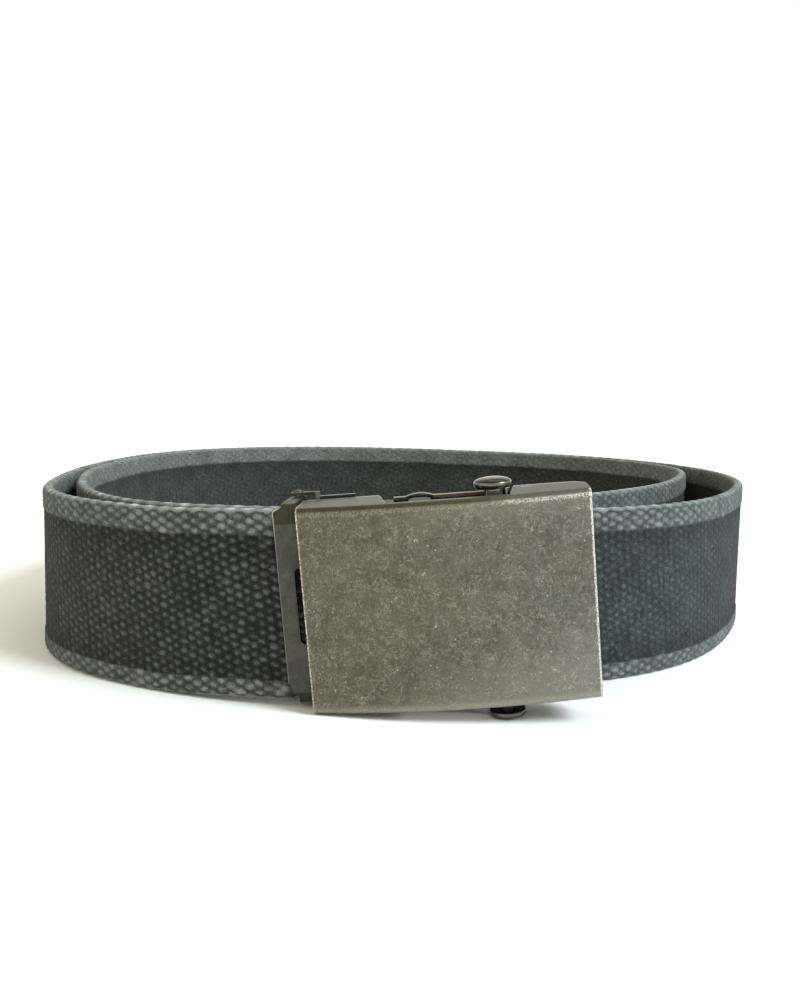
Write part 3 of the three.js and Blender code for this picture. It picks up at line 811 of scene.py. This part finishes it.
def section(outer_steps, inner_steps, edge_parts):
    """The strap's outline as columns: across, depth, their outward direction, and the
    distance across that the weave follows, which runs on over the edges."""
    flat = STRAP_WIDTH / 2 - EDGE_REACH
    quarter = math.pi / 4 * (EDGE_REACH + RIM_HALF)
    rows = []
    for side, step_sizes in ((1, outer_steps), (-1, inner_steps)):
        across = side_rows(*step_sizes)
        half = BODY_HALF + (RIM_HALF - BODY_HALF) * smooth(*RIM_THICKENS, into_rim(across))
        for v, h in zip(across[::side], half[::side]):
            rows.append((v, side * h, 0.0, float(side), v))
        for k in range(edge_parts + 1):
            turn = math.pi * k / edge_parts
            over = math.sin(turn)
            out = side * math.cos(turn)
            travelled = flat + quarter * 2 * min(k, edge_parts - k) / edge_parts
            rows.append((
                side * (flat + (EDGE_REACH - EDGE_EASE) * over), RIM_HALF * out,
                side * over, out, side * travelled))
    return np.array(rows)


def ripple(rng, waves=14, shortest=3.0, longest=60.0):
    """A smooth random field over (along, across), from a sum of waves, about -1 to 1."""
    length = np.exp(rng.uniform(math.log(shortest), math.log(longest), waves))
    angle = rng.uniform(0, 2 * math.pi, waves)
    phase = rng.uniform(0, 2 * math.pi, waves)

    def at(u, v):
        total = np.zeros(np.broadcast(u, v).shape)
        for size, turn, start in zip(length, angle, phase):
            total += np.sin((u * np.cos(turn) + v * np.sin(turn)) * 2 * math.pi / size + start)
        return total / math.sqrt(waves / 2) * 0.6

    return at


WEAVE_SEED = 7
LUMP_ROWS = 64
LUMPS = 512
weave_rng = np.random.default_rng(WEAVE_SEED)
lump_fields = weave_rng.normal(0, 1, (4, LUMP_ROWS, LUMPS))
lump_tone, lump_size, lump_shift, lump_lift = lump_fields
sway_along = ripple(weave_rng)
sway_across = ripple(weave_rng)
fade = ripple(weave_rng, waves=20, shortest=2.5, longest=25.0)


def lumps(u, s, pitch, long, tall, first_row):
    """The warp's raised lumps on staggered rows: how far from the nearest lump's middle,
    1 being its foot, and that lump's paleness."""
    best = np.full(np.broadcast(u, s).shape, np.inf)
    tone = np.zeros(best.shape)
    middle = np.round(s / pitch)
    for row in (middle - 1, middle, middle + 1):
        centred = u + PICK * np.mod(row, 2)
        lump = np.round(centred / (2 * PICK))
        at = (np.mod(row + first_row, LUMP_ROWS).astype(int), np.mod(lump, LUMPS).astype(int))
        off_u = centred - lump * 2 * PICK + LUMP_SHIFTS * lump_shift[at]
        off_s = s - row * pitch + LUMP_LIFTS * lump_lift[at]
        size = 1 + LUMP_SIZES * lump_size[at]
        reach = (off_u / (long * size)) ** 2 + (off_s / (tall * size)) ** 2
        tone = np.where(reach < best, 1 + LUMP_TONES * lump_tone[at], tone)
        best = np.minimum(best, reach)
    return best, tone


def yarns(u, s, rim):
    """Height in mm and paleness of the yarns, for the body or for the rims, whose yarns
    are thicker. Between the lumps the weft shows as low dark ridges."""
    if rim:
        beyond = np.abs(s) - (STRAP_WIDTH / 2 - RIM_BAND + RIM_ROW / 2)
        s = np.where(s < 0, -beyond, beyond)
    reach, lump_pale = lumps(u, s, *(RIM_LUMPS if rim else BODY_LUMPS))
    rise, low_level = RIM_LEVELS if rim else BODY_LEVELS
    pick_off = u / PICK - np.round(u / PICK)
    weft = WEFT_RIDGE - WEFT_DROP * (2 * pick_off) ** 2
    height = low_level + weft + rise * np.exp(-LUMP_FALL * reach)
    return height, np.exp(-LUMP_GLOW * reach) * lump_pale


def hill(x, middle, width, moved=0.0):
    return np.exp(-((x - middle + moved) / width) ** 2)


def relief(u, s, inner):
    """Height, paleness and share of rim at (along, across) on the strap's surface. The outermost
    yarn of a rim is a rope with a recess under each of its turns, darkened as painted shade, and
    gleams on its turns as painted highlights; the crest of the upper edge is painted palest,
    partly fading and partly painted light from above, which counts as a share above 1."""
    body_clear, rim_clear = (
        np.interp(u, along_at(CLARITY[:, 0]), share) for share in CLARITY[:, 1:].T)
    u = u - SLANT * s + SWAY_ALONG * sway_along(u, s)
    s_moved = s + SWAY_ACROSS * sway_across(u, s)
    rim = smooth(*RIM_SHOWS, into_rim(s_moved))
    clear = body_clear + (rim_clear - body_clear) * rim
    clear = clear * np.where(inner, INNER_CLARITY, 1.0)
    body_height, body_tone = yarns(u, s_moved, False)
    rim_height, rim_tone = yarns(u, s_moved, True)
    edge = np.abs(s_moved)
    turn = 0.5 + 0.5 * np.cos(math.pi * u / PICK)
    rope = smooth(*ROPE_FROM, edge + 0.2 * turn)
    recess = hill(edge, *RECESS, 0.15 * turn) * (1 - turn)
    top = turn * hill(edge, *ROPE_TOP)
    strand = ROPE_SWELL * (0.5 + top) - ROPE_SWELL
    rim_height = rim_height + (strand - rim_height) * rope - RECESS_DEPTH * recess
    # Painted highlight on the rope's turns, and painted shade in its recesses
    gleam = 0.5 + 0.8 * turn * hill(edge, *GLEAM)
    rim_tone = rim_tone + (ROPE_TONE * gleam - rim_tone) * rope
    rim_tone = rim_tone * (1 - RECESS_DARKER * recess)
    height = body_height + (rim_height - body_height) * rim
    tone = body_tone + (rim_tone - body_tone) * rim
    middle = MIDDLE_TONES[0] + (MIDDLE_TONES[1] - MIDDLE_TONES[0]) * rim
    tone = middle + (tone - middle) * clear
    # Painted shade in the body beside each rim
    beside_rim = smooth(*BESIDE_RIM, into_rim(s_moved)) * (1 - rim)
    tone = tone * (1 - BESIDE_DARKER * beside_rim) * (1 + FADE_TONES * fade(u, s))
    tone = tone * np.where(inner, 1 - INNER_DARKER * (1 - rim), 1.0)
    # The crest of the upper edge: faded, and painted light from above
    crest = smooth(*CREST_FROM, s + 0.25 * fade(u * 2.0, s))
    crest = crest * (0.75 + 0.3 * fade(u, s + 40))
    crest = crest * (0.2 + 0.8 * turn) * (0.4 + 0.6 * body_clear)
    return height * (0.4 + 0.6 * clear), np.clip(tone, 0, 1.6), rim + np.clip(crest, 0, 1)


def unrolled(mesh, columns, around):
    """Lays the piece out flat for its texture: along it, and once round its outline."""
    layer = mesh.uv_layers.new(name="OFBake")
    margin = 0.01
    cap_room = 0.03
    i, k = np.meshgrid(np.arange(columns - 1), np.arange(around), indexing="ij")
    wide = (1 - 2 * margin) / (columns - 1)
    tall = (1 - 2 * margin - cap_room) / around
    corners = []
    for di, dk in ((0, 0), (0, 1), (1, 1), (1, 0)):
        corners.append(np.stack([margin + (i + di) * wide, margin + (k + dk) * tall], -1))
    strip = np.stack(corners, 2).reshape(-1, 2)
    turn = 2 * math.pi * np.arange(around) / around
    ring = np.stack([np.cos(turn), np.sin(turn)], -1) * cap_room / 3
    caps = [ring + (x, 1 - cap_room / 2) for x in (0.25, 0.75)]
    layer.data.foreach_set("uv", np.concatenate([strip, *caps]).astype(np.float32).ravel())


def web_piece(name, first, last, pace, outer_steps, inner_steps, edge_parts, material):
    """One stretch of the strap between two bearings, as a closed relief mesh."""
    start, end = along_at(first), along_at(last)
    columns = int(round((end - start) / pace)) + 1
    u = np.linspace(start, end, columns)[:, None]
    across, depth, up, out, follow = section(outer_steps, inner_steps, edge_parts).T
    height, tone, rim = relief(u, follow[None, :], (out < INWARD)[None, :])
    points = strap_points(u, across + height * up, depth + height * out)
    around = len(across)
    index, quads = tube(columns, around)
    caps = [index[0][::-1], index[-1]]
    mesh = new_mesh(name, points.reshape(-1, 3), quads, caps)
    flat = np.zeros(len(mesh.polygons), bool)
    flat[-2:] = True
    attribute = mesh.attributes.new("sharp_face", "BOOLEAN", "FACE")
    attribute.data.foreach_set("value", flat)
    for label, values in (("tone", tone), ("band", rim)):
        field = mesh.attributes.new(label, "FLOAT", "POINT")
        spread = np.broadcast_to(values, (columns, around))
        field.data.foreach_set("value", spread.astype(np.float32).ravel())
    unrolled(mesh, columns, around)
    new_piece(name, mesh, material, "strap", "webbing")


# Steps across the strap, in its body and its rims
FINE = (ROW / 3, RIM_ROW / 4)
CLEAR = (ROW / 2, RIM_ROW / 3)
PLAIN = (ROW, RIM_ROW / 2)
# The strap's stretches: name, first and last bearing, pace along it, steps across its
# outer and inner face, and parts round each edge
WEB_PIECES = [
    ("webbing_front_left", 6.6, 84, PICK / 5, FINE, PLAIN, 12),
    ("webbing_rear_left", 84, 180, PICK / 4, CLEAR, PLAIN, 10),
    ("webbing_rear_right", 180, 284, PICK / 4, CLEAR, PLAIN, 10),
    ("webbing_front_right", 284, 345, PICK / 5, FINE, PLAIN, 12),
    ("webbing_inner_left", 345, 480, PICK / 4, PLAIN, CLEAR, 10),
    ("webbing_inner_rear", 480, 600, PICK / 4, PLAIN, CLEAR, 10),
    ("webbing_free_end", 600, 700, PICK / 4, CLEAR, CLEAR, 10),
]


def webbing():
    material = cotton_web()
    for row in WEB_PIECES:
        web_piece(*row, material)


# Buckle


def rear_edge(x):
    """How deep the flange is at a place along the plate: full, less at the notch."""
    in_notch = smooth(*NOTCH_LEFT, x) - smooth(*NOTCH_RIGHT, x)
    depth = FLANGE_DEPTH + (LIP_DEPTH - FLANGE_DEPTH) * in_notch
    past = np.clip((x - (PLATE_LENGTH / 2 - CORNER)) / CORNER, 0, 1)
    return depth - CORNER * (1 - np.sqrt(1 - past ** 2))


def plate_stations():
    """Places along the plate, closer together where its rear edge turns."""
    half = PLATE_LENGTH / 2
    turns = [np.linspace(*NOTCH_LEFT, 14), np.linspace(*NOTCH_RIGHT, 10)]
    corner = half - CORNER + CORNER * np.sin(np.linspace(0, math.pi / 2, 9))
    even = np.linspace(-half, half - CORNER, 45)
    keep = [x for x in even if all(np.abs(x - t).min() > 0.4 for t in turns)]
    ends = [-half + EDGE_WEAR_AND_GLINT, half - EDGE_WEAR_AND_GLINT]
    return np.unique(np.round(np.concatenate([keep, *turns, corner, ends]), 4))


def buckle_frame(material):
    """The bent plate: one profile from the top flange's rear edge over the face to the
    bottom flange's, given the sheet's thickness, with its edges eased."""
    stations = plate_stations()
    high = PLATE_HEIGHT / 2
    face_rows = 26
    flange_rows = 8
    bend_rows = 6

    def profile(x, inset):
        """Points at one station, inset from the outer surface."""
        face = PLATE_BOW - math.sqrt(PLATE_BOW ** 2 - x ** 2)
        radius = BEND - inset
        rear = float(rear_edge(x))
        start = face + BEND
        glint_band = min(FLANGE_GLINT, (rear - start) / 2)
        flat = [rear, *np.linspace(rear - glint_band, start, flange_rows)[:-1]]
        rows = [(y, high - inset) for y in flat]
        for t in np.linspace(0, math.pi / 2, bend_rows):
            rows.append((start - radius * math.sin(t), high - BEND + radius * math.cos(t)))
        lower = [(y, -z) for y, z in reversed(rows)]
        bend_z = high - BEND
        middle = [(face + inset, z) for z in np.linspace(bend_z, -bend_z, face_rows)[1:-1]]
        return [(x, y, z) for y, z in [*rows, *middle, *lower]]

    outer = np.array([profile(x, 0.0) for x in stations])
    inner = np.array([profile(x, SHEET) for x in stations])
    count, across = outer.shape[:2]
    a = np.arange(count * across).reshape(count, across)
    b = a + count * across
    quads = []
    for grid, order in ((a, (0, 1, 2, 3)), (b, (3, 2, 1, 0))):
        parts = [grid[:-1, :-1], grid[:-1, 1:], grid[1:, 1:], grid[1:, :-1]]
        quads.append(np.stack([parts[n] for n in order], -1).reshape(-1, 4))
    rims = [(a[:, 0], b[:, 0]), (b[:, -1], a[:, -1]), (b[0], a[0]), (a[-1], b[-1])]
    for near, far in rims:
        quads.append(np.stack([near[:-1], near[1:], far[1:], far[:-1]], -1))
    points = np.concatenate([outer.reshape(-1, 3), inner.reshape(-1, 3)]) * MM
    mesh = new_mesh("buckle_plate", points, np.concatenate(quads))
    # Painted pale edges: wear and painted highlights at the ends, a painted glint on the flange's
    # rear edges
    worn = np.zeros((2, count, across), np.float32)
    worn[:, :, [0, -1]] = 1
    worn[:, [0, -1], :] = 1
    mesh.attributes.new("edge", "FLOAT", "POINT").data.foreach_set("value", worn.ravel())
    tidy_normals(mesh)
    piece = new_piece(
        "buckle_plate", mesh, material, "frame", "buckle_frame", BUCKLE)
    ease_edges(piece, PLATE_EASE)


def tidy_normals(mesh, join_flat=False):
    """Merges loose doubles, joins flat facets if asked, points all faces outward and
    shades them smoothly."""
    work = bmesh.new()
    work.from_mesh(mesh)
    bmesh.ops.remove_doubles(work, verts=work.verts, dist=MERGE_WITHIN * MM)
    if join_flat:
        bmesh.ops.dissolve_limit(
            work, angle_limit=FLAT_WITHIN, verts=work.verts, edges=work.edges)
    bmesh.ops.recalc_face_normals(work, faces=work.faces)
    for face in work.faces:
        face.smooth = True
    work.to_mesh(mesh)
    work.free()


def ease_edges(piece, width):
    """Rounds the sharp edges of a piece by a width in mm."""
    bevel = piece.modifiers.new("eased", "BEVEL")
    bevel.width = width * MM
    bevel.segments = 2
    bevel.limit_method = "ANGLE"
    bevel.angle_limit = EASE_ABOVE
    bevel.harden_normals = True
    bevel.miter_outer = "MITER_ARC"


def from_node(node, name, material, body, ease):
    """A piece with a CAD node's shape, in the buckle's own axes, with eased edges."""
    mesh = frame["nodes"][node].data.copy()
    mesh.name = name
    mesh.transform(BUCKLE.inverted())
    tidy_normals(mesh, join_flat=True)
    piece = new_piece(name, mesh, material, body, node, BUCKLE)
    ease_edges(piece, ease)


def turned(rows, sides, at, flip=False):
    """A turned mesh on an upright axis; rows are (radius, height) in mm, low to high.
    Flipped, it is upside down."""
    rows = np.array(rows, float)
    turn = 2 * math.pi * np.arange(sides) / sides
    ring = np.stack([np.cos(turn), np.sin(turn)], -1)
    body = rows[rows[:, 0] > 1e-6]
    sign = -1 if flip else 1
    points = []
    for radius, height in body:
        level = np.full((sides, 1), height * sign)
        points.append(np.concatenate([ring * radius + at, level], 1))
    index, quads = tube(len(body), sides)
    low = len(body) * sides
    points.append(np.array([(*at, rows[0, 1] * sign), (*at, rows[-1, 1] * sign)]))
    fans = []
    for k in range(sides):
        after = (k + 1) % sides
        fans.append((low, index[0, after], index[0, k]))
        fans.append((low + 1, index[-1, k], index[-1, after]))
    mesh = new_mesh("turned", np.concatenate(points) * MM, quads, fans)
    tidy_normals(mesh)
    mesh.set_sharp_from_angle(angle=SHARP_ABOVE)
    return mesh


def rounded(rows, parts):
    """A smoother run of (radius, height) rows by a Catmull-Rom curve."""
    rows = np.array(rows, float)
    padded = np.concatenate([[2 * rows[0] - rows[1]], rows, [2 * rows[-1] - rows[-2]]])
    made = []
    for a, b, c, d in zip(padded, padded[1:], padded[2:], padded[3:]):
        for t in np.arange(parts) / parts:
            made.append(0.5 * (
                2 * b + (c - a) * t + (2 * a - 5 * b + 4 * c - d) * t ** 2
                + (3 * b - a - 3 * c + d) * t ** 3))
    made.append(rows[-1])
    made = np.array(made)
    made[:, 0] = np.maximum(made[:, 0], 0)
    return made


def roller_rows():
    """The lock roller: a lower head, a neck, the bar, a neck and a button head on top."""
    lower = [(radius, ROLLER_BOTTOM + above) for radius, above in LOWER_HEAD]
    upper = [(radius, ROLLER_TOP - below) for radius, below in UPPER_HEAD]
    bar = [
        (1.7, -UNDER_RAIL), (2.4, -UNDER_RAIL), (2.6, 0.2 - UNDER_RAIL),
        (2.6, UNDER_RAIL - 0.2), (2.4, UNDER_RAIL), (1.7, UNDER_RAIL),
    ]
    stem = [(1.7, lower[-1][1]), *bar, (1.7, upper[0][1])]
    return [*rounded(lower, 3), *stem, *rounded(upper, 4)]


def rivet_rows():
    """A rivet, from its low head under the rail to its flush head in the flange."""
    low = UNDER_RAIL - RIVET_RISE
    top = PLATE_HEIGHT / 2
    return [
        (0, low), (0.9, low + 0.03), (1.2, UNDER_RAIL - 0.3), (RIVET_HEAD, UNDER_RAIL),
        (RIVET_SHANK, UNDER_RAIL), (RIVET_SHANK, top - SHEET), (RIVET_HEAD, top - SHEET),
        (RIVET_HEAD, top), (RIVET_HEAD - 0.12, top + 0.03), (0, top + 0.05),
    ]


def pin_rows(tab, eye):
    """A hinge pin, from its head under the clip's tab to its dome over the rail's eye."""
    inside = tab - TAB_SHEET - GAP
    dome = [(HINGE_SHANK * math.cos(t), eye + 0.1 + 0.35 * math.sin(t))
            for t in np.linspace(0, math.pi / 2, 6)]
    return [(0, inside - 0.6), (1.0, inside - 0.58), (HINGE_HEAD, inside - 0.35),
            (HINGE_HEAD, inside), (HINGE_SHANK, inside), *dome]


def buckle():
    copper = copper_rail()
    pins = smooth_metal("pin_steel", (0.04, 0.039, 0.034), (0.11, 0.108, 0.096), 0.2)[0]
    rivets = smooth_metal("rivet_nickel", (0.12, 0.118, 0.108), (0.15, 0.148, 0.138), 0.3)[0]
    buckle_frame(aged_nickel())
    from_node("strap_clip", "clip_sheet", clip_steel(), "strap", CLIP_EASE)
    from_node("rail_top", "rail_strip_top", copper, "frame", RAIL_EASE)
    from_node("rail_bottom", "rail_strip_bottom", copper, "frame", RAIL_EASE)
    for node, flip in (("rail_rivet_top", False), ("rail_rivet_bottom", True)):
        mesh = turned(rivet_rows(), PIN_SIDES, RIVET_AT, flip)
        new_piece(node + "_head", mesh, rivets.material, "frame", node, BUCKLE)
    hinges = (("hinge_pin_top", TAB_TOP, EYE_TOP, False),
              ("hinge_pin_bottom", TAB_BOTTOM, EYE_BOTTOM, True))
    for node, tab, eye, flip in hinges:
        mesh = turned(pin_rows(tab, eye), PIN_SIDES, HINGE_AT, flip)
        new_piece(node + "_dome", mesh, pins.material, "strap", node, BUCKLE)
    mesh = turned(roller_rows(), ROLLER_SIDES, ROLLER_AT)
    new_piece("lock_roller_bar", mesh, roller_bronze(), "roller",
              "lock_roller", BUCKLE)


# Camera, floor and light


def camera():
    data = bpy.data.cameras.new("camera")
    data.sensor_width = SENSOR_MM
    data.lens = FOCAL_PX * SENSOR_MM / IMAGE_HEIGHT_PX
    made = in_scene("camera", data)
    made.matrix_world = (
        Matrix.Translation(Vector(CAMERA_AT_MM) * MM)
        @ Matrix.Rotation(math.pi / 2 - CAMERA_DOWN, 4, "X")
        @ Matrix.Rotation(CAMERA_ROLL, 4, "Z")
    )
    scene.camera = made


def floor():
    mesh = bpy.data.meshes.new("floor")
    sides = ((-1, -1), (1, -1), (1, 1), (-1, 1))
    corners = [(x * FLOOR_REACH, y * FLOOR_REACH, 0) for x, y in sides]
    mesh.from_pydata(corners, [], [(0, 1, 2, 3)])
    made = in_scene("floor", mesh)
    shade = Shade("white_floor", Roughness=0.8)
    made.data.materials.append(shade.finish(Base_Color=FLOOR_COLOUR))


def light(name, kind, energy, toward):
    """Adds a light that shines in a direction."""
    data = bpy.data.lights.new(name, kind)
    data.energy = energy
    made = in_scene(name, data)
    made.rotation_euler = toward.to_track_quat("-Z", "Y").to_euler()
    return made


def lights():
    for name, come_from, strength, colour, spread in SUNS:
        data = light(name, "SUN", strength, -Vector(come_from)).data
        data.color = colour
        data.angle = math.radians(spread)
    top = light("top", "AREA", TOP_WATTS, Vector(TOP_AIM) - Vector(TOP_AT))
    top.location = TOP_AT
    top.data.size = TOP_SIZE


def world():
    """A bright studio: faintly warm at the horizon, dimmer and warmer overhead."""
    made = bpy.data.worlds.new("studio")
    scene.world = made
    made.use_nodes = True
    nodes = Nodes(made.node_tree)
    height = nodes.part(nodes.new("ShaderNodeTexCoord").outputs["Generated"], "Z")
    colour = nodes.mix(nodes.step(height, *STUDIO_HEIGHTS), *STUDIO_COLOURS)
    nodes.put(colour, nodes.tree.nodes["Background"].inputs["Color"])


scene.view_settings.view_transform = "Standard"
camera()
webbing()
buckle()
floor()
world()
lights()
